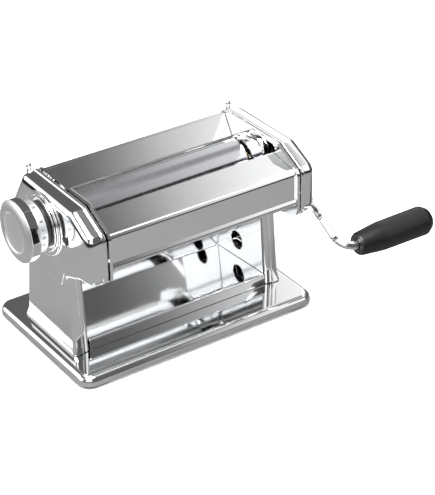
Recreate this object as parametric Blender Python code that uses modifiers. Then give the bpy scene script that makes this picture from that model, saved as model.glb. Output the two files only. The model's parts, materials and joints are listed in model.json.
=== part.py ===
"""Hand-cranked pasta roller machine, built as an assembly of separate pieces.

Lengths are in millimetres in this file and are turned into metres where the
meshes are made.  X runs along the rollers towards the crank, Y to the back, Z
up.  The machine frame has its origin under the middle of the base plate; an
empty moves everything so that the box around the whole machine is centred on
the world's Z axis and stands on Z = 0.
"""
import math

import bmesh
import bpy
from mathutils import Matrix, Vector

MM = 0.001
GAP = 0.3                     # clearance kept between pieces that touch

# ---- driving dimensions (mm) ------------------------------------------------
BASE_LENGTH = 220.0
BASE_DEPTH = 143.0
BASE_MIDDLE = 2.0             # Y of the base plate's middle
BASE_TOP = 11.0
BASE_UNDERSIDE = 2.6          # lowest edge of the base plate's skirt
SHEET = 1.2                   # pressed steel

CHEEK_IN = 84.0               # inner face of each side plate
CHEEK_OUT = 86.6
LEG_IN = 84.0
LEG_SEAM = 90.2
LEG_OUT = 97.2
LEG_TOP = 84.0
COVER_IN = 87.9               # open edge of each side cover
COVER_OUT = 102.7
COVER_EDGE = 6.0              # rounding between a cover's face and its rim

FRONT_FACE = -77.6            # side cover's front
REAR_FACE = 43.0
HOUSING_TOP = 148.0
TIE_RODS = {"front": (-71.5, 118.0), "rear": (26.0, 98.0)}

ROLLER_RADIUS = 17.0
ROLLER_HALF = 76.0
DRIVE_YZ = (-9.0, 120.5)      # axis of the driven roller, the crank and the knob
GAP_OPEN = 4.8                # roller gap at setting 0
GAP_CLOSED = 0.6              # roller gap at setting 9
ROLLER_TILT = math.radians(14.0)
SETTING_TURN = math.radians(324.0)
TRAVEL = GAP_OPEN - GAP_CLOSED

GEAR_TEETH = 13
GEAR_TIP = 20.2
GEAR_ROOT = 13.8
DRIVE_JOURNAL = 7.0
ADJUST_JOURNAL = 5.0

CAM_BASE = 12.0
PIN_RADIUS = 2.5
CARRIAGE_BAR_YZ = (22.0, 114.0)
CARRIAGE_BAR_RADIUS = 3.0

KNOB_FACE = -129.3            # rim of the knob's dished cap
KNOB_RADIUS = 25.2
KNOB_FLATS = 12               # grip flats round the knob's rim

CRANK_RADIUS = 108.0
CRANK_DROP = math.radians(29.0)   # the arm points forward and this far below level
CRANK_PLANE = 111.0
CRANK_BEND = 14.0
ROD_RADIUS = 3.75
GRIP_START = 124.6
GRIP_LENGTH = 72.0
GRIP_RADIUS = 12.3

# ---- derived places (mm) ----------------------------------------------------
CLOSING = (math.cos(ROLLER_TILT), math.sin(ROLLER_TILT))
CENTRE_DISTANCE = 2 * ROLLER_RADIUS + GAP_OPEN
ADJUST_YZ = (DRIVE_YZ[0] - CENTRE_DISTANCE * CLOSING[0],
             DRIVE_YZ[1] - CENTRE_DISTANCE * CLOSING[1])
PIN_DISTANCE = CAM_BASE + PIN_RADIUS + GAP
PIN_YZ = (DRIVE_YZ[0] + PIN_DISTANCE * CLOSING[0],
          DRIVE_YZ[1] + PIN_DISTANCE * CLOSING[1])
GRIP_YZ = (DRIVE_YZ[0] - CRANK_RADIUS * math.cos(CRANK_DROP),
           DRIVE_YZ[1] - CRANK_RADIUS * math.sin(CRANK_DROP))
GRIP_END = GRIP_START + GRIP_LENGTH
SHIFT_X = -(KNOB_FACE + GRIP_END) / 2
SHIFT_Y = -((GRIP_YZ[0] - GRIP_RADIUS) + BASE_MIDDLE + BASE_DEPTH / 2) / 2


# ---- scene, collections, materials ------------------------------------------
def clear_scene():
    for obj in list(bpy.data.objects):
        bpy.data.objects.remove(obj, do_unlink=True)


def make_collection(name):
    collection = bpy.data.collections.new(name)
    bpy.context.scene.collection.children.link(collection)
    return collection


def make_material(name, colour, metallic, roughness):
    material = bpy.data.materials.new(name)
    material.use_nodes = True
    shader = material.node_tree.nodes["Principled BSDF"]
    shader.inputs["Base Color"].default_value = (*colour, 1.0)
    shader.inputs["Metallic"].default_value = metallic
    shader.inputs["Roughness"].default_value = roughness
    return material


def make_empty(name, x, yz, parent=None):
    empty = bpy.data.objects.new(name, None)
    empty.empty_display_size = 0.01
    PARTS.objects.link(empty)
    empty.parent = parent
    own = Vector((x, yz[0], yz[1])) * MM
    empty.location = own - machine_place(parent)
    return empty


def machine_place(obj):
    """Place of an empty in the machine frame, in metres."""
    place = Vector((0.0, 0.0, 0.0))
    while obj is not None and obj is not MACHINE:
        place += obj.location
        obj = obj.parent
    return place


def add_part(name, data, material, parent):
    """Links a mesh or curve whose points are in the machine frame (metres)."""
    obj = bpy.data.objects.new(name, data)
    data.materials.append(material)
    PARTS.objects.link(obj)
    obj.parent = parent
    obj.location = -machine_place(parent)
    return obj


# ---- outlines ---------------------------------------------------------------
def arc(centre, radius, start_deg, end_deg, steps):
    points = []
    for i in range(steps + 1):
        angle = math.radians(start_deg + (end_deg - start_deg) * i / steps)
        points.append((centre[0] + radius * math.cos(angle),
                       centre[1] + radius * math.sin(angle)))
    return points


def circle(centre, radius, steps=32):
    return arc(centre, radius, 0.0, 360.0, steps)[:-1]


def slot(start, end, radius, steps=6):
    """Stadium outline around the straight line from start to end."""
    heading = math.degrees(math.atan2(end[1] - start[1], end[0] - start[0]))
    return (arc(end, radius, heading - 90, heading + 90, steps)
            + arc(start, radius, heading + 90, heading + 270, steps))


def rounded(corners, steps=5, closed=True):
    """Rounds each (y, z, radius) corner of an outline with an arc."""
    count = len(corners)
    points = []
    for i, (y, z, radius) in enumerate(corners):
        here = Vector((y, z))
        if radius == 0 or (not closed and i in (0, count - 1)):
            points.append((y, z))
            continue
        before = (Vector(corners[i - 1][:2]) - here).normalized()
        after = (Vector(corners[(i + 1) % count][:2]) - here).normalized()
        half = before.angle(after) / 2
        centre = here + (before + after).normalized() * (radius / math.sin(half))
        first = here + before * (radius / math.tan(half)) - centre
        last = here + after * (radius / math.tan(half)) - centre
        sweep = first.angle_signed(last)
        for k in range(steps + 1):
            turned = Matrix.Rotation(-sweep * k / steps, 2) @ first
            points.append((centre.x + turned.x, centre.y + turned.y))
    return points


def hull_of_circles(circles, steps=20):
    """Convex outline around several (centre, radius) circles."""
    cloud = []
    for centre, radius in circles:
        cloud += circle(centre, radius, steps)
    cloud = sorted(set((round(y, 5), round(z, 5)) for y, z in cloud))

    def half_hull(points):
        chain = []
        for p in points:
            while len(chain) > 1 and turn(chain[-2], chain[-1], p) <= 1e-9:
                chain.pop()
            chain.append(p)
        return chain[:-1]

    return half_hull(cloud) + half_hull(cloud[::-1])


def turn(a, b, c):
    return (b[0] - a[0]) * (c[1] - a[1]) - (b[1] - a[1]) * (c[0] - a[0])


def moved(yz, distance):
    """A point moved along the roller's closing direction."""
    return (yz[0] + distance * CLOSING[0], yz[1] + distance * CLOSING[1])


# ---- solids -----------------------------------------------------------------
def plate(name, material, parent, outline, x0, x1, holes=(), edge=0.0):
    """Flat plate in a YZ plane between x0 and x1, with holes through it."""
    curve = bpy.data.curves.new(name, "CURVE")
    curve.dimensions = "2D"
    curve.fill_mode = "BOTH"
    curve.extrude = (x1 - x0) / 2 * MM - edge * MM
    curve.bevel_depth = edge * MM
    curve.bevel_resolution = 1
    curve.offset = -edge * MM
    place = machine_place(parent)
    for points in [outline, *holes]:
        spline = curve.splines.new("POLY")
        spline.points.add(len(points) - 1)
        spline.use_cyclic_u = True
        for point, (y, z) in zip(spline.points, points):
            point.co = (y * MM, z * MM, 0.0, 1.0)
    obj = add_part(name, curve, material, parent)
    obj.rotation_euler = (math.pi / 2, 0.0, math.pi / 2)
    obj.location = Vector(((x0 + x1) / 2 * MM, 0.0, 0.0)) - place
    return obj


def to_mesh(obj):
    """Replaces a curve object by a welded mesh object in the same place."""
    bpy.context.view_layer.update()
    graph = bpy.context.evaluated_depsgraph_get()
    mesh = bpy.data.meshes.new_from_object(obj.evaluated_get(graph))
    work = bmesh.new()
    work.from_mesh(mesh)
    bmesh.ops.remove_doubles(work, verts=work.verts, dist=0.00001)
    work.to_mesh(mesh)
    work.free()
    name, parent = obj.name, obj.parent
    solid = bpy.data.objects.new(name + "_mesh", mesh)
    PARTS.objects.link(solid)
    solid.parent = parent
    solid.location, solid.rotation_euler = obj.location.copy(), obj.rotation_euler.copy()
    bpy.data.objects.remove(obj, do_unlink=True)
    solid.name = name
    return solid


def turned(name, material, parent, yz, profile, steps=24, closed=False):
    """Solid of revolution about an X axis; profile is (x, radius), +X end first."""
    mesh = bpy.data.meshes.new(name)
    work = bmesh.new()
    verts = [work.verts.new((radius * MM, 0.0, x * MM)) for x, radius in profile]
    ends = list(zip(verts, verts[1:]))
    if closed:
        ends.append((verts[-1], verts[0]))
    for a, b in ends:
        work.edges.new((a, b))
    work.to_mesh(mesh)
    work.free()
    obj = add_part(name, mesh, material, parent)
    obj.rotation_euler = (0.0, math.pi / 2, 0.0)
    obj.location = Vector((0.0, yz[0], yz[1])) * MM - machine_place(parent)
    screw = obj.modifiers.new("Turn", "SCREW")
    screw.axis = "Z"
    screw.angle = 2 * math.pi
    screw.steps = steps
    screw.render_steps = steps
    screw.use_merge_vertices = True
    screw.merge_threshold = 0.00001
    screw.use_smooth_shade = True
    return obj


def ring(name, material, parent, yz, x0, x1, inner, outer, steps=24):
    """Plain ring about an X axis."""
    profile = [(x1, outer), (x0, outer), (x0, inner), (x1, inner)]
    return turned(name, material, parent, yz, profile, steps, closed=True)


def pin(name, material, parent, yz, x0, x1, radius, steps=16):
    """Plain round pin along X."""
    profile = [(x1, 0.0), (x1, radius), (x0, radius), (x0, 0.0)]
    return turned(name, material, parent, yz, profile, steps)


def loft(name, rows, material, parent, closed_rows=False, thickness=0.0, cap_last=False, skip=0):
    """Surface through rows of (x, y, z) points, made a shell by Solidify.

    The last skip segments of open rows are left out, so the cap keeps a bare edge there.
    """
    mesh = bpy.data.meshes.new(name)
    work = bmesh.new()
    grid = [[work.verts.new(Vector(p) * MM) for p in row] for row in rows]
    for low, high in zip(grid, grid[1:]):
        count = len(low)
        for i in range(count if closed_rows else count - 1 - skip):
            j = (i + 1) % count
            work.faces.new((low[i], low[j], high[j], high[i]))
    if cap_last:
        work.faces.new(grid[-1])
    work.normal_update()
    work.to_mesh(mesh)
    work.free()
    obj = add_part(name, mesh, material, parent)
    if thickness:
        shell = obj.modifiers.new("Sheet", "SOLIDIFY")
        shell.thickness = thickness * MM
        shell.offset = -1.0
        shell.use_even_offset = True
    return obj


def bent_sheet(name, material, parent, profile, x0, x1, thickness=SHEET):
    """Sheet bent along X; it thickens to the left of the profile, seen from +X."""
    rows = [[(x1, y, z), (x0, y, z)] for y, z in profile]
    return loft(name, rows, material, parent, thickness=thickness)


def block(name, material, parent, low, high, edge=0.0):
    """Box between two corners, with rounded edges."""
    mesh = bpy.data.meshes.new(name)
    work = bmesh.new()
    bmesh.ops.create_cube(work, size=1.0)
    size = Vector(high) - Vector(low)
    middle = (Vector(high) + Vector(low)) / 2
    for vert in work.verts:
        vert.co = Vector((vert.co.x * size.x, vert.co.y * size.y, vert.co.z * size.z))
        vert.co = (vert.co + middle) * MM
    work.to_mesh(mesh)
    work.free()
    obj = add_part(name, mesh, material, parent)
    if edge:
        bevel = obj.modifiers.new("Edges", "BEVEL")
        bevel.width = edge * MM
        bevel.segments = 2
    return obj


def rod(name, material, parent, points, radius, resolution=2):
    """Round wire through the given (x, y, z) points."""
    curve = bpy.data.curves.new(name, "CURVE")
    curve.dimensions = "3D"
    curve.bevel_depth = radius * MM
    curve.bevel_resolution = resolution
    curve.use_fill_caps = True
    spline = curve.splines.new("POLY")
    spline.points.add(len(points) - 1)
    for point, place in zip(spline.points, points):
        point.co = (*(Vector(place) * MM), 1.0)
    return add_part(name, curve, material, parent)


def helix(x_start, yz, direction, length, radius, turns, per_turn=12):
    """Points of a coil that starts at (x_start, *yz) and runs along direction."""
    along = Vector(direction).normalized()
    side = along.orthogonal().normalized()
    other = along.cross(side)
    start = Vector((x_start, *yz))
    points = []
    for i in range(turns * per_turn + 1):
        angle = 2 * math.pi * i / per_turn
        drift = along * (length * i / (turns * per_turn))
        points.append(start + drift + radius * (side * math.cos(angle) + other * math.sin(angle)))
    return points


def cut(obj, cutter, operation="DIFFERENCE"):
    """Takes the cutter's shape out of an object, or keeps only what is inside it."""
    CUTTERS.objects.link(cutter)
    PARTS.objects.unlink(cutter)
    cutter.hide_render = True
    cutter.display_type = "WIRE"
    change = obj.modifiers.new("Cut", "BOOLEAN")
    change.operation = operation
    change.solver = "EXACT"
    change.object = cutter


# ---- base -------------------------------------------------------------------
def rounded_rectangle(half_x, half_y, radius, steps=5):
    points = []
    for sx, sy, start in ((1, 1, 0), (-1, 1, 90), (-1, -1, 180), (1, -1, 270)):
        centre = (sx * (half_x - radius), sy * (half_y - radius))
        points += arc(centre, radius, start, start + 90, steps)
    return points


def make_base():
    corner = 12.0
    edge = 5.5
    rows = []
    skirt = [(0.0, BASE_UNDERSIDE)]
    skirt += [(edge * (1 - math.cos(t * math.pi / 8)), BASE_TOP - edge * (1 - math.sin(t * math.pi / 8)))
              for t in range(5)]
    for inset, z in skirt:
        outline = rounded_rectangle(BASE_LENGTH / 2 - inset, BASE_DEPTH / 2 - inset, corner - inset)
        rows.append([(x, y + BASE_MIDDLE, z) for x, y in outline])
    loft("base_plate", rows, CHROME, MACHINE, closed_rows=True, thickness=SHEET, cap_last=True)
    for side_x, word_x in ((-1, "left"), (1, "right")):
        for side_y, word_y in ((-1, "front"), (1, "rear")):
            make_foot(f"foot_{word_y}_{word_x}", side_x, side_y)


def make_foot(name, side_x, side_y):
    """Rubber pad that fills a corner of the base plate from below."""
    wide, deep, inset = 30.0, 24.0, 2.0
    x = side_x * (BASE_LENGTH / 2 - inset - wide / 2)
    y = BASE_MIDDLE + side_y * (BASE_DEPTH / 2 - inset - deep / 2)
    rows = []
    for z, grow in ((0.0, -0.8), (0.8, 0.0), (BASE_TOP - SHEET - GAP - 2.5, 0.0),
                    (BASE_TOP - SHEET - GAP, -2.6)):
        outline = rounded_rectangle(wide / 2 + grow, deep / 2 + grow, 10.0 + grow)
        rows.append([(x + a, y + b, z) for a, b in outline])
    pad = loft(name, rows, RUBBER, MACHINE, closed_rows=True)
    close_ends(pad)


def close_ends(obj):
    """Caps the open first and last rows of a loft."""
    work = bmesh.new()
    work.from_mesh(obj.data)
    bmesh.ops.holes_fill(work, edges=[e for e in work.edges if e.is_boundary])
    bmesh.ops.recalc_face_normals(work, faces=work.faces)
    work.to_mesh(obj.data)
    work.free()


# ---- legs -------------------------------------------------------------------
def leg_front(z):
    """Front of the leg at height z; the leg is wider at the base."""
    return -35.2 + (z - BASE_TOP) * 5.2 / (LEG_TOP - BASE_TOP)


def leg_rear(z):
    return 43.4 - (z - BASE_TOP) * 11.0 / (LEG_TOP - BASE_TOP)


def make_leg_shell(name, x_face, x_seam, flare):
    """Pressed channel: a flat face with rounded flanges that end at the seam."""
    side = 1 if x_face > x_seam else -1
    radius = 3.6
    rows = []
    foot = BASE_TOP + 0.7
    for z, spread in ((foot, flare), (foot + 3.0, 0.6 * flare), (foot + 8.0, 0.0), (50.0, 0.0), (LEG_TOP, 0.0)):
        front, rear = leg_front(z) - 0.5 * spread, leg_rear(z) + 0.5 * spread
        face = x_face + side * spread
        corners = [(x_seam, front, 0), (face, front, radius), (face, rear, radius), (x_seam, rear, 0)]
        rows.append([(x, y, z) for x, y in rounded(corners, steps=4, closed=False)])
    if side < 0:
        rows = rows[::-1]
    return loft(name, rows, CHROME, MACHINE, thickness=SHEET)


def make_legs():
    for side, word in ((-1, "left"), (1, "right")):
        make_leg_shell(f"leg_outer_{word}", side * LEG_OUT, side * (LEG_SEAM + GAP / 2), 1.8)
        inner = make_leg_shell(f"leg_inner_{word}", side * LEG_IN, side * (LEG_SEAM - GAP / 2), 0.0)
        hole = pin(f"hole_cutter_{word}", CHROME, MACHINE, (6.5, 34.6),
                   side * LEG_IN - 4, side * LEG_IN + 4, 8.2, 24)
        cut(inner, hole)


def make_tray():
    """Raised tray between the legs; its front edge is folded down to the base."""
    rear, front = BASE_TOP + 5.6, BASE_TOP + 9.7
    fold = 1.8
    face = leg_front(front)
    profile = [(leg_rear(rear) - 4.0, rear)]
    profile += arc((face + fold, front - fold), fold, 90, 180, 4)
    profile.append((face, BASE_TOP + GAP))
    bent_sheet("leg_tray", CHROME, MACHINE, profile, -LEG_IN + GAP, LEG_IN - GAP)


def make_back_panel():
    """Upright sheet that closes the back between the legs."""
    low, high = BASE_TOP + 6.2, 92.0
    profile = [(33.2, high), (35.4, low)]
    bent_sheet("back_panel", CHROME, MACHINE, profile, -LEG_IN + GAP, LEG_IN - GAP)


# ---- side plates and covers -------------------------------------------------
def housing_outline(inset=0.0, bottom=75.3, steps=3):
    """Pentagon-like outline of the housing, seen along X."""
    corners = [
        (REAR_FACE - inset, bottom, 0.0 if bottom < 80 else 2.0),
        (REAR_FACE - inset, 119.0 - 0.3 * inset, 6.0),
        (24.0 - 0.6 * inset, HOUSING_TOP - inset, 5.0),
        (-50.5 + 0.4 * inset, HOUSING_TOP - inset, 8.0),
        (FRONT_FACE + inset, 134.6 - 0.5 * inset, 8.0),
        (FRONT_FACE + inset, 94.8 + inset, 9.0),
        (-57.0, 91.8 + inset, 3.0),
        (-36.0, max(83.6, bottom) + inset, 3.0),
        (-29.5, bottom, 0.0 if bottom < 80 else 2.0),
    ]
    return rounded(corners, steps)


def make_cover(word, side):
    """Deep-drawn side cover: flat face, rounded edge and a raised bead round its open rim."""
    steps = 4
    rim = ((0.0, -0.5), (0.7, -1.2), (2.7, -1.2), (3.4, 0.0))
    rows = [[(side * (COVER_IN + x), y, z) for y, z in housing_outline(inset)] for x, inset in rim]
    for k in range(steps + 1):
        angle = k * math.pi / 2 / steps
        inset = COVER_EDGE * (1 - math.cos(angle))
        x = COVER_OUT - COVER_EDGE * (1 - math.sin(angle))
        rows.append([(side * x, y, z) for y, z in housing_outline(inset)])
    cover = loft(f"cover_{word}", rows, CHROME, MACHINE, thickness=SHEET, cap_last=True, skip=1)
    if side < 0:
        cover.data.flip_normals()
    bore = 6.7 if side < 0 else 11.0
    cut(cover, pin(f"shaft_hole_{word}", CHROME, MACHINE, DRIVE_YZ,
                   side * COVER_OUT - 6, side * COVER_OUT + 6, bore, 32))
    return cover


def make_cheek(word, side):
    """Flat side plate that carries the rollers and closes the hopper's end."""
    x0, x1 = sorted((side * CHEEK_IN, side * CHEEK_OUT))
    holes = [
        circle(DRIVE_YZ, 10.3)[::-1],
        slot(moved(ADJUST_YZ, -0.3), moved(ADJUST_YZ, TRAVEL + 0.3), ADJUST_JOURNAL + 0.5)[::-1],
        slot(moved(CARRIAGE_BAR_YZ, -0.3), moved(CARRIAGE_BAR_YZ, TRAVEL + 0.3),
             CARRIAGE_BAR_RADIUS + 0.5)[::-1],
    ]
    for yz in TIE_RODS.values():
        holes.append(circle(yz, 2.3, 12)[::-1])
    return plate(f"side_plate_{word}", CHROME, MACHINE, housing_outline(-0.9, LEG_TOP + 1.0),
                 x0, x1, holes)


def make_tie_rods():
    """Cross rods with a nut on each end that hold the side plates apart."""
    for word, yz in TIE_RODS.items():
        half = CHEEK_OUT
        profile = [
            (half + 3.2, 0.0), (half + 3.2, 4.2), (half + GAP, 4.2), (half + GAP, 2.0),
            (CHEEK_IN - GAP, 2.0), (CHEEK_IN - GAP, 3.5), (-CHEEK_IN + GAP, 3.5),
            (-CHEEK_IN + GAP, 2.0), (-half - GAP, 2.0), (-half - GAP, 4.2),
            (-half - 3.2, 4.2), (-half - 3.2, 0.0),
        ]
        turned(f"tie_rod_{word}", STEEL, MACHINE, yz, profile, 12)


def make_side_bracket(word, side):
    """Inner strap that joins a leg to its side plate."""
    x0, x1 = sorted((side * (CHEEK_OUT + 0.8), side * (CHEEK_OUT + 2.8)))
    outline = rounded([(-24.0, 40.0, 3), (30.0, 40.0, 3), (30.0, 92.0, 3), (-24.0, 92.0, 3)], 3)
    plate(f"side_bracket_{word}", STEEL, MACHINE, outline, x0, x1)


def make_accessory_pin(word, side):
    """Round-headed pin on the rear top corner, a stop for an attachment."""
    ball = 2.4
    neck = 1.7
    profile = [(ball * math.sin(math.radians(a)), 5.9 + ball * math.cos(math.radians(a)))
               for a in range(0, 151, 30)]
    profile += [(neck, 3.6), (neck + 0.3, 0.0), (0.0, 0.0)]
    mesh = bpy.data.meshes.new(f"accessory_pin_{word}")
    work = bmesh.new()
    verts = [work.verts.new((r * MM, 0.0, z * MM)) for r, z in profile]
    for a, b in zip(verts, verts[1:]):
        work.edges.new((a, b))
    work.to_mesh(mesh)
    work.free()
    obj = add_part(f"accessory_pin_{word}", mesh, CHROME, MACHINE)
    obj.location = Vector((side * 92.5, 28.8, 144.4)) * MM
    screw = obj.modifiers.new("Turn", "SCREW")
    screw.steps = 12
    screw.render_steps = 12
    screw.use_merge_vertices = True
    screw.merge_threshold = 0.00001


# ---- hopper -----------------------------------------------------------------
def make_front_panel():
    """Hopper front: sloped top, rounded bead, upright face and rolled lower lip."""
    face = FRONT_FACE + 0.8
    profile = [(-45.6, 136.6), (-46.2, 139.0), (-48.0, 139.2), (-71.6, 134.6)]
    profile += arc((face + 4.4, 130.6), 4.4, 62, 180, 8)
    profile += [(face, 110.6)]
    profile += arc((face + 1.2, 107.4), 3.0, 125, 270, 6)
    profile += [(face + 4.6, 104.6)]
    bent_sheet("front_panel", CHROME, MACHINE, profile, -CHEEK_IN + GAP, CHEEK_IN - GAP, 1.0)


def make_rear_panel():
    """Hopper back: steep inner slope folded over the top edge to the outer back wall."""
    profile = [(REAR_FACE - 1.4, 93.0), (REAR_FACE - 1.4, 122.5), (24.4, 146.6)]
    profile += [(22.6, 147.2), (20.8, 146.6), (11.0, 131.0), (12.4, 128.6)]
    bent_sheet("rear_panel", CHROME, MACHINE, profile, -CHEEK_IN + GAP, CHEEK_IN - GAP, 1.0)


def make_dough_guide(word, side):
    """Upright plate beside the roller's end that keeps the dough off the bearing."""
    outline = rounded([(-42.6, 129.5, 2), (-4.0, 129.5, 2), (-7.5, 142.2, 3), (-41.0, 142.2, 3)], 3)
    x0, x1 = sorted((side * 77.2, side * 79.1))
    plate(f"dough_guide_{word}", CHROME, MACHINE, outline, x0, x1)


def make_bearing_housing(word, side):
    """Round housing on the inside of the side plate, around the roller's bush."""
    x0, x1 = sorted((side * 79.4, side * (CHEEK_IN - GAP)))
    ring(f"bearing_housing_{word}", CHROME, MACHINE, DRIVE_YZ, x0, x1, 10.4, 18.4)


def make_drive_bush(word, side):
    x0, x1 = sorted((side * 79.6, side * 86.3))
    ring(f"drive_bush_{word}", BRASS, MACHINE, DRIVE_YZ, x0, x1, DRIVE_JOURNAL + 0.35, 10.0)


def make_rear_scraper():
    """Blade under the driven roller, with the rod that carries it."""
    profile = [(1.0, 104.4), (15.0, 95.2), (18.0, 95.0)]
    bent_sheet("scraper_rear", NYLON, MACHINE, profile, -74.0, 74.0, 1.2)
    pin("scraper_rod_rear", STEEL, MACHINE, (15.6, 91.2), -CHEEK_IN + GAP, CHEEK_IN - GAP, 2.0, 12)


# ---- driven roller and crank ------------------------------------------------
def make_drive_roller():
    r, j = ROLLER_RADIUS, DRIVE_JOURNAL
    profile = [
        (98.0, 0.0), (98.0, j), (ROLLER_HALF, j), (ROLLER_HALF, r - 2.2), (ROLLER_HALF - 1.2, r),
        (-ROLLER_HALF + 1.2, r), (-ROLLER_HALF, r - 2.2), (-ROLLER_HALF, j), (-CHEEK_OUT, j),
        (-CHEEK_OUT, 0.0),
    ]
    roller = turned("drive_roller", STEEL, DRIVE, DRIVE_YZ, profile, 32)
    cut(roller, pin("socket_bore", STEEL, DRIVE, DRIVE_YZ, 82.0, 105.0, ROD_RADIUS + 0.45, 16))
    notch = block("socket_notch", STEEL, DRIVE, (91.6, DRIVE_YZ[0] - 12, DRIVE_YZ[1] - 2.0),
                  (105.0, DRIVE_YZ[0] + 12, DRIVE_YZ[1] + 2.0))
    cut(roller, notch)
    make_gear("drive_gear", DRIVE, DRIVE_YZ, DRIVE_JOURNAL + GAP, 0.0)


def make_gear(name, parent, yz, bore, phase):
    """Deep-toothed gear; a tooth points at the other roller when phase is zero."""
    root_half, tip_half = 2.3, 0.7
    heading = math.atan2(-CLOSING[1], -CLOSING[0])
    outline = []
    for tooth in range(GEAR_TEETH):
        middle = heading + 2 * math.pi * (tooth + phase) / GEAR_TEETH
        for radius, offset in ((GEAR_ROOT, -root_half), (GEAR_TIP, -tip_half),
                               (GEAR_TIP, tip_half), (GEAR_ROOT, root_half)):
            angle = middle + offset / radius
            outline.append((yz[0] + radius * math.cos(angle), yz[1] + radius * math.sin(angle)))
    plate(name, STEEL, parent, outline, 91.7, 96.5, [circle(yz, bore, 24)[::-1]])


def crank_path():
    """Centre line: out of the socket, down the arm and out again into the grip."""
    arm = Vector((0.0, -math.cos(CRANK_DROP), -math.sin(CRANK_DROP)))
    out = Vector((1.0, 0.0, 0.0))
    hub = Vector((CRANK_PLANE, *DRIVE_YZ))
    knee = Vector((CRANK_PLANE, *GRIP_YZ))
    first_bend = 9.0
    points = [Vector((84.0, *DRIVE_YZ))]
    for corner, before, after, bend in ((hub, out, arm, first_bend), (knee, arm, out, CRANK_BEND)):
        centre = corner - before * bend + after * bend
        for k in range(9):
            angle = k * math.pi / 16
            points.append(centre - after * (bend * math.cos(angle)) + before * (bend * math.sin(angle)))
    points.append(Vector((GRIP_END - 8.0, *GRIP_YZ)))
    return points


def make_crank():
    arm = rod("crank_arm", CHROME, CRANK, crank_path(), ROD_RADIUS, 2)
    arm = to_mesh(arm)
    y, z = DRIVE_YZ
    rod("crank_cross_pin", STEEL, CRANK, [(94.0, y - 6.4, z), (94.0, y + 6.4, z)], 1.5)
    hole = rod("cross_pin_hole", STEEL, CRANK, [(94.0, y - 9.0, z), (94.0, y + 9.0, z)], 1.8)
    cut(arm, to_mesh(hole))
    ring("drive_collar", CHROME, MACHINE, DRIVE_YZ, COVER_OUT + GAP, COVER_OUT + 2.3, 8.6, 13.0)
    make_grip()


def make_grip():
    """Tapered hand grip, bored for the crank's rod."""
    start, end, r = GRIP_START, GRIP_END, GRIP_RADIUS
    bore = ROD_RADIUS + 0.45
    profile = [
        (end, 0.0), (end, 8.4), (end - 0.8, 9.3), (end - 5.2, r - 0.3), (end - 6.6, r),
        (start + 24.0, r - 0.3), (start + 18.0, r - 0.9), (start + 2.0, 9.6), (start, 8.4),
        (start, bore), (end - 7.0, bore), (end - 7.0, 0.0),
    ]
    turned("crank_grip", BLACK, GRIP, GRIP_YZ, profile)


# ---- adjustable roller and its carriage -------------------------------------
def make_adjust_roller():
    r, j = ROLLER_RADIUS, ADJUST_JOURNAL
    profile = [
        (98.0, 0.0), (98.0, j), (ROLLER_HALF, j), (ROLLER_HALF, r - 2.2), (ROLLER_HALF - 1.2, r),
        (-ROLLER_HALF + 1.2, r), (-ROLLER_HALF, r - 2.2), (-ROLLER_HALF, j), (-89.8, j), (-89.8, 0.0),
    ]
    turned("adjust_roller", STEEL, ADJUST, ADJUST_YZ, profile, 32)
    facing = GEAR_TEETH / 2 + 0.5
    make_gear("adjust_gear", ADJUST, ADJUST_YZ, ADJUST_JOURNAL + GAP, facing)


def make_carriage():
    """Link plates, cross bar, bushes, cam follower, scraper and springs of the moving roller."""
    outline_left = hull_of_circles([(ADJUST_YZ, 11.5), (CARRIAGE_BAR_YZ, 7.0), (PIN_YZ, 5.0)])
    outline_right = hull_of_circles([(ADJUST_YZ, 11.5), (CARRIAGE_BAR_YZ, 7.0)])
    for side, word, outline in ((-1, "left", outline_left), (1, "right", outline_right)):
        x0, x1 = sorted((side * 87.2, side * 89.2))
        holes = [circle(ADJUST_YZ, 8.0, 20)[::-1], circle(CARRIAGE_BAR_YZ, 2.5, 12)[::-1]]
        link = plate(f"roller_link_{word}", STEEL, CARRIAGE, outline, x0, x1, holes)
        if side > 0:
            link = to_mesh(link)
            notch = block("link_notch", STEEL, CARRIAGE, (80.0, -22.5, 112.0), (95.0, -0.5, 140.0))
            cut(link, notch)
        b0, b1 = sorted((side * 86.9, side * 89.6))
        ring(f"adjust_bush_{word}", BRASS, CARRIAGE, ADJUST_YZ, b0, b1, ADJUST_JOURNAL + 0.35, 7.7, 24)
        hook = (ADJUST_YZ[0] - 13.6, ADJUST_YZ[1] - 1.0)
        coil = helix(side * 89.1, hook, (0.0, -1.0, -0.25), 8.4, 1.7, 5, 8)
        rod(f"link_spring_{word}", STEEL, CARRIAGE, coil, 0.45, 0)
    half = 89.4
    r = CARRIAGE_BAR_RADIUS
    profile = [(half, 0.0), (half, 2.2), (86.9, 2.2), (86.9, r), (-86.9, r), (-86.9, 2.2),
               (-half, 2.2), (-half, 0.0)]
    turned("link_bar", STEEL, CARRIAGE, CARRIAGE_BAR_YZ, profile, 20)
    pin("cam_follower", STEEL, CARRIAGE, PIN_YZ, -94.4, -89.5, PIN_RADIUS, 20)
    blade = [(-71.5, 101.0), (-67.0, 101.0), (-62.6, 101.6)]
    bent_sheet("scraper_front", NYLON, CARRIAGE, blade, -74.0, 74.0, 1.2)


# ---- regulator --------------------------------------------------------------
def make_cam():
    """Spiral cam: its radius grows evenly over the ten settings."""
    outline = []
    heading = math.degrees(math.atan2(CLOSING[1], CLOSING[0]))
    for step in range(0, 361, 12):
        grown = TRAVEL * min(step, 324) / 324.0
        if step > 336:
            grown = 0.0
        outline.append(((CAM_BASE + grown), math.radians(heading + step)))
    points = [(DRIVE_YZ[0] + r * math.cos(a), DRIVE_YZ[1] + r * math.sin(a)) for r, a in outline[:-1]]
    plate("cam_disc", STEEL, REGULATOR, points, -94.2, -90.2, [circle(DRIVE_YZ, 4.3, 24)[::-1]])


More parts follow.
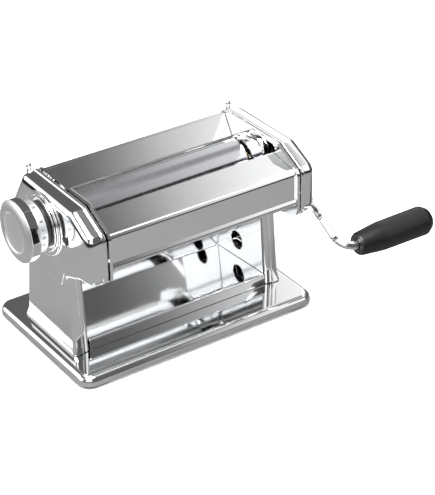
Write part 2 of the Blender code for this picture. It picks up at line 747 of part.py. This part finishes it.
def make_regulator():
    make_cam()
    profile = [(-89.9, 0.0), (-89.9, 4.0), (-121.3, 4.0), (-121.3, 0.0)]
    turned("regulator_shaft", STEEL, REGULATOR, DRIVE_YZ, profile, 24)
    ring("shaft_clip", STEEL, REGULATOR, DRIVE_YZ, -120.9, -119.8, 4.3, 8.0, 24)
    ring("hub_plate", CHROME, MACHINE, DRIVE_YZ, -COVER_OUT - 1.7, -COVER_OUT - GAP, 6.7, 26.0)
    dial = [(-99.0, 6.4), (-104.8, 6.4), (-104.8, 22.6), (-106.0, 22.6), (-106.0, 4.4), (-99.0, 4.4)]
    turned("dial_plate", CHROME, MACHINE, DRIVE_YZ, dial, closed=True)
    track = [(-106.3, 18.6), (-109.6, 18.6), (-109.6, 13.6), (-107.2, 13.6), (-107.2, 10.6),
             (-109.6, 10.6), (-109.6, 4.6), (-106.3, 4.6)]
    turned("detent_ring", BLACK, MACHINE, DRIVE_YZ, track, closed=True)


def make_knob():
    r = KNOB_RADIUS
    body = [
        (-109.9, 17.0), (-118.1, 17.0), (-118.1, r - 1.0), (-118.7, r - 0.3), (-125.2, r - 0.3),
        (-125.2, 22.0), (-121.9, 22.0), (-121.9, 9.4), (-112.1, 9.4), (-112.1, 4.5), (-109.9, 4.5),
    ]
    knob = turned("knob_body", CHROME, KNOB, DRIVE_YZ, body, 48, closed=True)
    flats = circle(DRIVE_YZ, r - 0.2, KNOB_FLATS)
    prism = plate("knob_flats", CHROME, KNOB, flats, KNOB_FACE - 5.0, -105.0)
    cut(knob, to_mesh(prism), "INTERSECT")
    ring("number_ring", SATIN, KNOB, DRIVE_YZ, -117.8, -110.1, 17.3, 20.6)
    cap = [
        (-122.2, 0.0), (-122.2, 21.6), (-125.5, 21.6), (-125.5, r), (-126.3, r), (-127.5, r - 1.4),
        (-128.5, r - 3.6), (-129.1, r - 6.0), (KNOB_FACE, r - 7.8), (-129.0, 16.6), (-128.0, 15.6),
        (-127.5, 12.0), (-127.3, 0.0),
    ]
    turned("knob_cap", SATIN, KNOB, DRIVE_YZ, cap, 48)
    coil = helix(-112.7, DRIVE_YZ, (-1.0, 0.0, 0.0), 2.2, 6.8, 2, 10)
    rod("knob_spring", STEEL, KNOB, coil, 0.5, 0)
    pin("detent_pin", STEEL, KNOB, (DRIVE_YZ[0] - 12.1, DRIVE_YZ[1]), -109.6, -107.5, 1.2, 12)


def make_pointer():
    """Small raised triangle on the cover that marks the chosen setting."""
    tip_y = DRIVE_YZ[0] - 28.5
    outline = [(tip_y, DRIVE_YZ[1]), (tip_y - 7.5, DRIVE_YZ[1] + 4.0), (tip_y - 7.5, DRIVE_YZ[1] - 4.0)]
    x = -COVER_OUT - GAP
    plate("setting_pointer", BLACK, MACHINE, outline, x - 0.6, x)


# ---- assembly ---------------------------------------------------------------
clear_scene()
PARTS = make_collection("pasta_roller_machine")
CUTTERS = make_collection("cutters")

CHROME = make_material("chrome", (0.86, 0.87, 0.88), 1.0, 0.08)
STEEL = make_material("steel", (0.62, 0.63, 0.65), 1.0, 0.28)
SATIN = make_material("satin_aluminium", (0.80, 0.81, 0.82), 1.0, 0.38)
BRASS = make_material("sintered_brass", (0.62, 0.47, 0.22), 1.0, 0.42)
BLACK = make_material("black_plastic", (0.02, 0.022, 0.024), 0.0, 0.36)
RUBBER = make_material("black_rubber", (0.03, 0.03, 0.03), 0.0, 0.75)
NYLON = make_material("white_nylon", (0.78, 0.78, 0.75), 0.0, 0.5)

MACHINE = bpy.data.objects.new("machine_frame", None)
PARTS.objects.link(MACHINE)
MACHINE.location = Vector((SHIFT_X, SHIFT_Y, 0.0)) * MM

DRIVE = make_empty("drive_axis", 0.0, DRIVE_YZ, MACHINE)
CRANK = make_empty("crank_slide", CRANK_PLANE, DRIVE_YZ, DRIVE)
GRIP = make_empty("grip_axis", GRIP_START, GRIP_YZ, CRANK)
CARRIAGE = make_empty("carriage_slide", 0.0, ADJUST_YZ, MACHINE)
ADJUST = make_empty("adjust_axis", 0.0, ADJUST_YZ, CARRIAGE)
REGULATOR = make_empty("regulator_axis", -COVER_OUT, DRIVE_YZ, MACHINE)
KNOB = make_empty("knob_slide", KNOB_FACE, DRIVE_YZ, REGULATOR)

make_base()
make_legs()
make_tray()
make_back_panel()
for SIDE, WORD in ((-1, "left"), (1, "right")):
    make_cover(WORD, SIDE)
    make_cheek(WORD, SIDE)
    make_side_bracket(WORD, SIDE)
    make_accessory_pin(WORD, SIDE)
    make_dough_guide(WORD, SIDE)
    make_bearing_housing(WORD, SIDE)
    make_drive_bush(WORD, SIDE)
make_tie_rods()
make_front_panel()
make_rear_panel()
make_rear_scraper()
make_drive_roller()
make_crank()
make_adjust_roller()
make_carriage()
make_regulator()
make_knob()
make_pointer()
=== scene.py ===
"""Looks of a hand-cranked pasta roller machine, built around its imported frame."""
import json
import math

import bpy
from mathutils import Matrix, Vector


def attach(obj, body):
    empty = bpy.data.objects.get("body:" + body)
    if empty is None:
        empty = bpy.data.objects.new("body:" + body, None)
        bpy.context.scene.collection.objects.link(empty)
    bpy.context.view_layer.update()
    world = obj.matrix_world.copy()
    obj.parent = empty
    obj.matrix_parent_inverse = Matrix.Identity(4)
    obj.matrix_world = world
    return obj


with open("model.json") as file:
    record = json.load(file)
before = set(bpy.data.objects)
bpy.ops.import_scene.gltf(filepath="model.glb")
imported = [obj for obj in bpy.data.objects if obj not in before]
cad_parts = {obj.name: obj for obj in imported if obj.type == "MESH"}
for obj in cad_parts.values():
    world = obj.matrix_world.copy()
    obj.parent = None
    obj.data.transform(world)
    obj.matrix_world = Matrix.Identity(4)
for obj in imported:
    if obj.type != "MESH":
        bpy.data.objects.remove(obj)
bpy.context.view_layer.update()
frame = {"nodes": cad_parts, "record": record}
NODES = frame["nodes"]

MM = 0.001

# ------------------------------------------------------------------ camera and stage

CAMERA_PLACE = Vector((-0.66415, -1.02567, 0.77370))
CAMERA_AZIMUTH = math.radians(33.42)
CAMERA_ELEVATION = math.radians(30.38)
CAMERA_ROLL = math.radians(-1.25)
CAMERA_LENS = 127.7
SENSOR = 36.0


def make_camera():
    back = Vector((-math.sin(CAMERA_AZIMUTH) * math.cos(CAMERA_ELEVATION),
                   -math.cos(CAMERA_AZIMUTH) * math.cos(CAMERA_ELEVATION),
                   math.sin(CAMERA_ELEVATION)))
    right = Vector((math.cos(CAMERA_AZIMUTH), -math.sin(CAMERA_AZIMUTH), 0.0))
    up = back.cross(right)
    side = right * math.cos(CAMERA_ROLL) + up * math.sin(CAMERA_ROLL)
    top = up * math.cos(CAMERA_ROLL) - right * math.sin(CAMERA_ROLL)
    data = bpy.data.cameras.new("camera")
    data.lens = CAMERA_LENS
    data.sensor_width = SENSOR
    data.sensor_fit = "AUTO"
    data.clip_start = 0.05
    data.clip_end = 50.0
    camera = bpy.data.objects.new("camera", data)
    bpy.context.scene.collection.objects.link(camera)
    rotation = Matrix((side, top, back)).transposed().to_4x4()
    camera.matrix_world = Matrix.Translation(CAMERA_PLACE) @ rotation
    bpy.context.scene.camera = camera


# ------------------------------------------------------------------ node helpers

class Graph:
    """A material's node tree, with short calls for the nodes used here."""

    def __init__(self, name):
        self.material = bpy.data.materials.new(name)
        self.material.use_nodes = True
        self.tree = self.material.node_tree
        self.tree.nodes.clear()
        self.output = self.tree.nodes.new("ShaderNodeOutputMaterial")
        self.shader = self.tree.nodes.new("ShaderNodeBsdfPrincipled")
        self.join(self.shader, "BSDF", self.output, "Surface")

    def node(self, kind, **values):
        made = self.tree.nodes.new(kind)
        for key, value in values.items():
            setattr(made, key, value)
        return made

    def join(self, source, output, target, socket):
        self.tree.links.new(source.outputs[output], target.inputs[socket])

    def place(self):
        return self.node("ShaderNodeTexCoord")

    def stretched(self, scale):
        mapping = self.node("ShaderNodeMapping")
        mapping.inputs["Scale"].default_value = scale
        self.join(self.place(), "Object", mapping, "Vector")
        return mapping

    def noise(self, scale, detail=4.0, rough=0.55, stretch=(1, 1, 1)):
        noise = self.node("ShaderNodeTexNoise")
        noise.inputs["Scale"].default_value = scale
        noise.inputs["Detail"].default_value = detail
        noise.inputs["Roughness"].default_value = rough
        self.join(self.stretched(stretch), "Vector", noise, "Vector")
        return noise

    def spread(self, source, low, high, start=0.3, end=0.7, output="Fac"):
        ranged = self.node("ShaderNodeMapRange")
        ranged.inputs["From Min"].default_value = start
        ranged.inputs["From Max"].default_value = end
        ranged.inputs["To Min"].default_value = low
        ranged.inputs["To Max"].default_value = high
        self.join(source, output, ranged, "Value")
        return ranged

    def tint(self, source, output, dark, light):
        mix = self.node("ShaderNodeMix", data_type="RGBA")
        mix.inputs["A"].default_value = (*dark, 1)
        mix.inputs["B"].default_value = (*light, 1)
        self.join(source, output, mix, "Factor")
        return mix

    def bump(self, layers):
        """Bump nodes in a row: (height node, output, strength, distance) each."""
        last = None
        for source, output, strength, distance in layers:
            bump = self.node("ShaderNodeBump")
            bump.inputs["Strength"].default_value = strength
            bump.inputs["Distance"].default_value = distance
            self.join(source, output, bump, "Height")
            if last:
                self.join(last, "Normal", bump, "Normal")
            last = bump
        self.join(last, "Normal", self.shader, "Normal")

    def set(self, **values):
        for key, value in values.items():
            self.shader.inputs[key.replace("_", " ")].default_value = value


def chrome(name, rough=(0.035, 0.07), light=(0.86, 0.866, 0.872), wave=0.015):
    """Polished chrome plate: a haze of polishing, and the faint swell of pressed sheet."""
    g = Graph(name)
    haze = g.noise(90.0, 5.0, 0.6)
    g.join(g.spread(haze, *rough), "Result", g.shader, "Roughness")
    dark = tuple(0.95 * c for c in light)
    cloud = g.noise(25.0, 3.0)
    g.join(g.tint(g.spread(cloud, 0.0, 1.0), "Result", dark, light), "Result", g.shader, "Base Color")
    swell = g.noise(14.0, 1.0, 0.4)
    g.bump([(swell, "Fac", wave, 0.002)])
    g.set(Metallic=1.0)
    return g.material


def turned_steel(name, light, rough, stretch=(1.0, 60.0, 60.0), depth=0.00002):
    """Machined steel: fine rings or lines from the tool, and small changes of tone."""
    g = Graph(name)
    lines = g.noise(60.0, 6.0, 0.7, stretch)
    g.join(g.spread(lines, *rough), "Result", g.shader, "Roughness")
    dark = tuple(0.86 * c for c in light)
    g.join(g.tint(g.spread(lines, 0.0, 1.0), "Result", dark, light), "Result", g.shader, "Base Color")
    g.bump([(lines, "Fac", 0.25, depth)])
    g.set(Metallic=1.0)
    return g.material


def plastic(name, dark, light, rough, grain=900.0, depth=0.00006, strength=0.35):
    """Moulded plastic or rubber: a fine spark-eroded grain and slight mottling."""
    g = Graph(name)
    fine = g.noise(grain, 3.0, 0.6)
    cloud = g.noise(40.0, 3.0)
    g.join(g.spread(cloud, *rough), "Result", g.shader, "Roughness")
    g.join(g.tint(g.spread(cloud, 0.0, 1.0), "Result", dark, light), "Result", g.shader, "Base Color")
    g.bump([(fine, "Fac", strength, depth)])
    return g.material


def make_materials():
    return {
        "chrome": chrome("chrome"),
        "knob_chrome": chrome("knob_chrome", (0.05, 0.09)),
        "steel": turned_steel("steel", (0.58, 0.59, 0.61), (0.24, 0.36)),
        "roller_metal": turned_steel("roller_metal", (0.78, 0.79, 0.81), (0.12, 0.2), (60.0, 1.0, 1.0)),
        "satin_aluminium": turned_steel("satin_aluminium", (0.88, 0.89, 0.9), (0.42, 0.5)),
        "brass": turned_steel("brass", (0.56, 0.42, 0.2), (0.35, 0.5)),
        "nylon": plastic("nylon", (0.62, 0.62, 0.6), (0.72, 0.72, 0.69), (0.45, 0.6)),
        "grip_plastic": plastic("grip_plastic", (0.004, 0.0045, 0.005), (0.008, 0.0085, 0.009), (0.36, 0.46)),
        "black_plastic": plastic("black_plastic", (0.008, 0.008, 0.009), (0.016, 0.017, 0.018), (0.4, 0.55)),
        "rubber": plastic("rubber", (0.012, 0.012, 0.012), (0.022, 0.022, 0.022), (0.7, 0.85)),
    }


def dress_nodes(materials):
    """Every CAD node takes the material of its slot in the record."""
    for part in frame["record"]["subparts"]:
        node = NODES[part["node"]]
        node.data.materials.clear()
        node.data.materials.append(materials[part["material_slot"]])


# Bevel widths in millimetres. A node that is not listed keeps its sharp edges.
EDGE_WIDTHS = {
    "side_plate_left": 0.9, "side_plate_right": 0.9, "base_plate": 0.35,
    "cover_left": 0.3, "cover_right": 0.3, "leg_outer_left": 0.35, "leg_outer_right": 0.35,
    "leg_inner_left": 0.35, "leg_inner_right": 0.35, "leg_tray": 0.3, "back_panel": 0.3,
    "front_panel": 0.3, "rear_panel": 0.3, "dough_guide_left": 0.6, "dough_guide_right": 0.6,
    "hub_plate": 0.5, "dial_plate": 0.4, "detent_ring": 0.4, "drive_collar": 0.5,
    "bearing_housing_left": 0.8, "bearing_housing_right": 0.8, "knob_body": 0.35,
    "number_ring": 0.3, "knob_cap": 0.3, "crank_grip": 0.6, "drive_roller": 0.4,
    "adjust_roller": 0.4, "link_bar": 0.4, "regulator_shaft": 0.4,
}
SHARP = math.radians(30.0)
WELD_DISTANCE = 1e-6
BEVEL_SEGMENTS = 2
FACE_WEIGHT = 80


def smooth_nodes():
    """Rounded edges and smooth normals: big flat faces stay flat, and the bends between them flow."""
    for name, node in NODES.items():
        mesh = node.data
        if "custom_normal" in mesh.attributes:
            mesh.attributes.remove(mesh.attributes["custom_normal"])
        mesh.shade_smooth()
        weld = node.modifiers.new("Weld", "WELD")
        weld.merge_threshold = WELD_DISTANCE
        if name in EDGE_WIDTHS:
            bevel = node.modifiers.new("Edges", "BEVEL")
            bevel.width = EDGE_WIDTHS[name] * MM
            bevel.segments = BEVEL_SEGMENTS
            bevel.limit_method = "ANGLE"
            bevel.angle_limit = SHARP
        else:
            split = node.modifiers.new("Split", "EDGE_SPLIT")
            split.split_angle = SHARP
        weigh = node.modifiers.new("Weigh", "WEIGHTED_NORMAL")
        weigh.weight = FACE_WEIGHT
        weigh.keep_sharp = True


# ------------------------------------------------------------------ marks on the number ring

RING_X = -0.1473                  # middle of the ring's width, in metres
RING_AXIS = (0.01213, 0.1205)     # Y and Z of the ring's axis
RING_RADIUS = 0.0206
SETTINGS = 10
DIGIT_SIZE = 0.0046
DOT_RADIUS = 0.0005
DOT_CORNERS = 12
MARK_SUNK = -0.00005              # underside of a mark, inside the ring
MARK_RAISED = 0.00004             # face of a mark, above the ring


def ring_mark(name, points, faces, turn, material):
    """Thin raised mark wrapped round the number ring; points are (along, around) in metres."""
    verts = []
    for lift in (MARK_SUNK, MARK_RAISED):
        for along, around in points:
            angle = turn + around / RING_RADIUS
            reach = RING_RADIUS + lift
            verts.append((RING_X + along, RING_AXIS[0] - reach * math.cos(angle),
                          RING_AXIS[1] - reach * math.sin(angle)))
    count = len(points)
    sides = {}
    solid = []
    for face in faces:
        solid.append(tuple(face))
        solid.append(tuple(v + count for v in reversed(face)))
        for a, b in zip(face, face[1:] + face[:1]):
            if (b, a) in sides:
                del sides[(b, a)]
            else:
                sides[(a, b)] = True
    solid += [(b, a, a + count, b + count) for a, b in sides]
    mesh = bpy.data.meshes.new(name)
    mesh.from_pydata(verts, [], solid)
    mark = bpy.data.objects.new(name, mesh)
    bpy.context.scene.collection.objects.link(mark)
    mesh.materials.append(material)
    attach(mark, "knob")


def make_ring_marks(material):
    """Settings 0 to 9 with a dot half way between each two."""
    turns = [corner * 2 * math.pi / DOT_CORNERS for corner in range(DOT_CORNERS)]
    dot = [(DOT_RADIUS * math.cos(a), DOT_RADIUS * math.sin(a)) for a in turns]
    for k in range(SETTINGS):
        turn = 2 * math.pi * k / SETTINGS
        glyph = bpy.data.curves.new(f"digit_{k}", "FONT")
        glyph.body = str(k)
        glyph.size = DIGIT_SIZE
        glyph.align_x = "CENTER"
        glyph.align_y = "CENTER"
        glyph.resolution_u = 3
        shape = bpy.data.objects.new(f"digit_{k}", glyph)
        flat = shape.to_mesh()
        points = [(v.co.y, v.co.x) for v in flat.vertices]
        faces = [list(f.vertices) for f in flat.polygons]
        ring_mark(f"ring_digit_{k}", points, faces, turn, material)
        shape.to_mesh_clear()
        ring_mark(f"ring_dot_{k}", dot, [list(range(DOT_CORNERS))], turn + math.pi / SETTINGS, material)


# ------------------------------------------------------------------ stage and light

FLOOR_SEEN = 0.92                 # to the camera, and to second and later bounces
FLOOR_MIRRORED = 0.18             # to a first bounce: painted dark reflection in the chrome
FLOOR_FAR = 0.01                  # to a first bounce, far from the middle: painted reflection, darker still
FLOOR_PAINTED_GLOW = 0.30                 # painted glow: emission to the camera only, which lifts the floor's shadows
FLOOR_NEAR_EDGE = 0.36            # metres from the middle, where the painted darkening of the reflected floor starts
FLOOR_FAR_EDGE = 0.62
FLOOR_REACH = 8.0
FLOOR_HEIGHT = -0.0002


def make_floor():
    """Not a plain floor: white to the camera with a painted glow that lifts its shadows, and dark grey to
    near black to a first reflection, a painted dark reflection in the chrome.
    """
    mesh = bpy.data.meshes.new("floor")
    corners = [(-FLOOR_REACH, -FLOOR_REACH), (FLOOR_REACH, -FLOOR_REACH),
               (FLOOR_REACH, FLOOR_REACH), (-FLOOR_REACH, FLOOR_REACH)]
    mesh.from_pydata([(x, y, FLOOR_HEIGHT) for x, y in corners], [], [(0, 1, 2, 3)])
    floor = bpy.data.objects.new("floor", mesh)
    bpy.context.scene.collection.objects.link(floor)
    g = Graph("floor")
    path = g.node("ShaderNodeLightPath")
    past = g.node("ShaderNodeMath", operation="SUBTRACT")
    past.inputs[1].default_value = 1.0
    g.join(path, "Ray Depth", past, 0)
    pale = g.node("ShaderNodeMath", operation="ABSOLUTE", use_clamp=True)
    g.join(past, 0, pale, 0)
    reach_out = g.node("ShaderNodeVectorMath", operation="LENGTH")
    g.join(g.place(), "Object", reach_out, 0)
    away = g.node("ShaderNodeMapRange")
    away.inputs["From Min"].default_value = FLOOR_NEAR_EDGE
    away.inputs["From Max"].default_value = FLOOR_FAR_EDGE
    g.join(reach_out, "Value", away, "Value")
    # painted reflection: a first bounce sees dark grey floor, near black far from the middle
    mirrored = g.tint(away, "Result", (FLOOR_MIRRORED,) * 3, (FLOOR_FAR,) * 3)
    shade = g.tint(pale, "Value", (FLOOR_MIRRORED,) * 3, (FLOOR_SEEN,) * 3)
    g.tree.links.new(mirrored.outputs["Result"], shade.inputs["A"])
    g.join(shade, "Result", g.shader, "Base Color")
    # painted glow: the floor gives off light to the camera only, washing out its shadows
    g.join(g.tint(path, "Is Camera Ray", (0.0,) * 3, (FLOOR_PAINTED_GLOW,) * 3), "Result",
           g.shader, "Emission Color")
    g.set(Roughness=0.95, Specular_IOR_Level=0.0, Emission_Strength=1.0)
    floor.data.materials.append(g.material)


def softbox(name, place, target, size, watts):
    data = bpy.data.lights.new(name, "AREA")
    data.shape = "RECTANGLE"
    data.size, data.size_y = size
    data.energy = watts
    lamp = bpy.data.objects.new(name, data)
    bpy.context.scene.collection.objects.link(lamp)
    aim = Vector(target) - Vector(place)
    lamp.matrix_world = (Matrix.Translation(Vector(place))
                         @ aim.to_track_quat("-Z", "Y").to_matrix().to_4x4())


class Studio:
    """World light as soft panels, each bounded by edges in the direction's x, y or z."""

    def __init__(self, dim):
        world = bpy.data.worlds.new("studio")
        bpy.context.scene.world = world
        world.use_nodes = True
        self.tree = world.node_tree
        self.tree.nodes.clear()
        output = self.tree.nodes.new("ShaderNodeOutputWorld")
        self.background = self.tree.nodes.new("ShaderNodeBackground")
        self.split = self.tree.nodes.new("ShaderNodeSeparateXYZ")
        place = self.tree.nodes.new("ShaderNodeTexCoord")
        self.tree.links.new(place.outputs["Generated"], self.split.inputs["Vector"])
        self.tree.links.new(self.background.outputs["Background"], output.inputs["Surface"])
        self.total = self.tree.nodes.new("ShaderNodeValue")
        self.total.outputs[0].default_value = dim

    def math(self, operation, a, b):
        node = self.tree.nodes.new("ShaderNodeMath")
        node.operation = operation
        for socket, value in zip(node.inputs, (a, b)):
            if hasattr(value, "is_linked"):
                self.tree.links.new(value, socket)
            else:
                socket.default_value = value
        return node.outputs[0]

    def edge(self, axis, start, end):
        """0 at start and 1 at end, along one axis of the direction; start may be the larger."""
        ranged = self.tree.nodes.new("ShaderNodeMapRange")
        ranged.interpolation_type = "SMOOTHSTEP"
        flipped = start > end
        ranged.inputs["From Min"].default_value = min(start, end)
        ranged.inputs["From Max"].default_value = max(start, end)
        ranged.inputs["To Min"].default_value = 1.0 if flipped else 0.0
        ranged.inputs["To Max"].default_value = 0.0 if flipped else 1.0
        self.tree.links.new(self.split.outputs[axis], ranged.inputs["Value"])
        return ranged.outputs["Result"]

    def panel(self, brightness, *edges):
        share = brightness
        for axis, start, end in edges:
            share = self.math("MULTIPLY", self.edge(axis, start, end), share)
        total = self.total.outputs[0]
        self.total = self.math("ADD", total, share).node

    def finish(self):
        self.tree.links.new(self.total.outputs[0], self.background.inputs["Color"])


STUDIO_DIM = 0.13


def make_studio():
    """Dim room: a panel on the crank's side, two brighter ones on the knob's, a faint one above."""
    studio = Studio(STUDIO_DIM)
    studio.panel(1.1, ("X", 0.405, 0.54), ("X", 0.85, 0.65), ("Z", 0.05, 0.2), ("Z", 0.88, 0.78))
    studio.panel(0.15, ("Z", 0.8, 0.9))
    studio.panel(1.7, ("X", -0.2, -0.45), ("Y", -0.2, 0.2), ("Z", 0.0, 0.1), ("Z", 0.75, 0.6))
    studio.panel(1.5, ("X", -0.15, -0.4), ("Y", -0.3, -0.5), ("Z", 0.15, 0.3), ("Z", 0.8, 0.65))
    studio.finish()


KEY_PLACE = (-0.45, -0.35, 1.9)
KEY_TARGET = (0.05, 0, 0)
KEY_SIZE = (1.4, 1.4)
KEY_WATTS = 85

bpy.context.scene.view_settings.view_transform = "Standard"
make_camera()
make_floor()
make_studio()
softbox("key", KEY_PLACE, KEY_TARGET, KEY_SIZE, KEY_WATTS)
MATERIALS = make_materials()
dress_nodes(MATERIALS)
smooth_nodes()
make_ring_marks(MATERIALS["black_plastic"])
